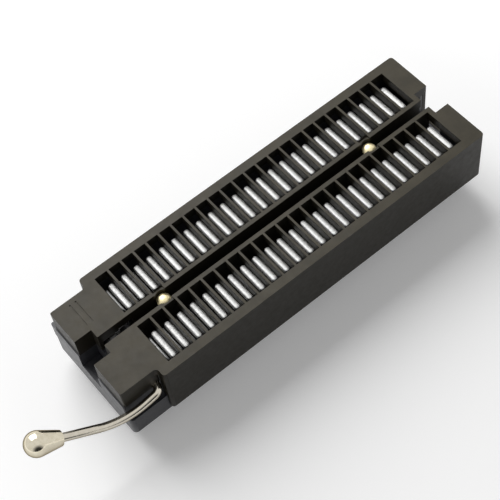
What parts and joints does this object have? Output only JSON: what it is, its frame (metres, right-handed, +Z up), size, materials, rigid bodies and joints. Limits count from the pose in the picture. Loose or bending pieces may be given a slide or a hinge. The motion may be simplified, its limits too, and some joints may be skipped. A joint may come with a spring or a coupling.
{
  "type": "zero insertion force socket",
  "caption": "Zero-insertion-force chip socket: two rows of spring contacts under slotted cells, opened by a side lever through a cam and a sliding comb.",
  "frame": {"origin": "centre of the field of 48 solder tails, on the seating plane under the standoff pads", "axes": "+X runs along the socket away from the lever end, +Y across it away from the lever's side, +Z up out of the board"},
  "size_m": [0.09, 0.0228, 0.0187],
  "materials": {
    "base_plastic": "satin moulded",
    "cover_plastic": "satin moulded, glass filled",
    "slider_plastic": "satin moulded",
    "cam_steel": "turned",
    "lever_steel": "polished",
    "knob_nickel": "polished",
    "rivet_brass": "polished",
    "contact_tin": "tin plated, satin"
  },
  "bodies": {
    "socket": {"base": "base_plastic", "cover": "cover_plastic", "rivets": "rivet_brass", "contact_01": "contact_tin", "contact_02": "contact_tin", "contact_03": "contact_tin", "contact_04": "contact_tin", "contact_05": "contact_tin", "contact_06": "contact_tin", "contact_07": "contact_tin", "contact_08": "contact_tin", "contact_09": "contact_tin", "contact_10": "contact_tin", "contact_11": "contact_tin", "contact_12": "contact_tin", "contact_13": "contact_tin", "contact_14": "contact_tin", "contact_15": "contact_tin", "contact_16": "contact_tin", "contact_17": "contact_tin", "contact_18": "contact_tin", "contact_19": "contact_tin", "contact_20": "contact_tin", "contact_21": "contact_tin", "contact_22": "contact_tin", "contact_23": "contact_tin", "contact_24": "contact_tin", "contact_25": "contact_tin", "contact_26": "contact_tin", "contact_27": "contact_tin", "contact_28": "contact_tin", "contact_29": "contact_tin", "contact_30": "contact_tin", "contact_31": "contact_tin", "contact_32": "contact_tin", "contact_33": "contact_tin", "contact_34": "contact_tin", "contact_35": "contact_tin", "contact_36": "contact_tin", "contact_37": "contact_tin", "contact_38": "contact_tin", "contact_39": "contact_tin", "contact_40": "contact_tin", "contact_41": "contact_tin", "contact_42": "contact_tin", "contact_43": "contact_tin", "contact_44": "contact_tin", "contact_45": "contact_tin", "contact_46": "contact_tin", "contact_47": "contact_tin", "contact_48": "contact_tin"},
    "lever": {"lever_wire": "lever_steel", "lever_knob": "knob_nickel", "cam": "cam_steel"},
    "comb": {"slider": "slider_plastic"}
  },
  "joints": [
    {"name": "lever_turn", "type": "hinge", "parent": "socket", "child": "lever", "pos_m": [-0.0334, 0, 0.008], "axis": [0, 1, 0], "range_deg": [0, 80]},
    {"name": "comb_slide", "type": "slide", "parent": "socket", "child": "comb", "axis": [1, 0, 0], "range_m": [0, 0.0007], "deforming": ["contact_01", "contact_02", "contact_03", "contact_04", "contact_05", "contact_06", "contact_07", "contact_08", "contact_09", "contact_10", "contact_11", "contact_12", "contact_13", "contact_14", "contact_15", "contact_16", "contact_17", "contact_18", "contact_19", "contact_20", "contact_21", "contact_22", "contact_23", "contact_24", "contact_25", "contact_26", "contact_27", "contact_28", "contact_29", "contact_30", "contact_31", "contact_32", "contact_33", "contact_34", "contact_35", "contact_36", "contact_37", "contact_38", "contact_39", "contact_40", "contact_41", "contact_42", "contact_43", "contact_44", "contact_45", "contact_46", "contact_47", "contact_48"]}
  ],
  "couplings": [
    {"joint": "comb_slide", "follows": "lever_turn", "m_per_rad": 0.00050134}
  ]
}
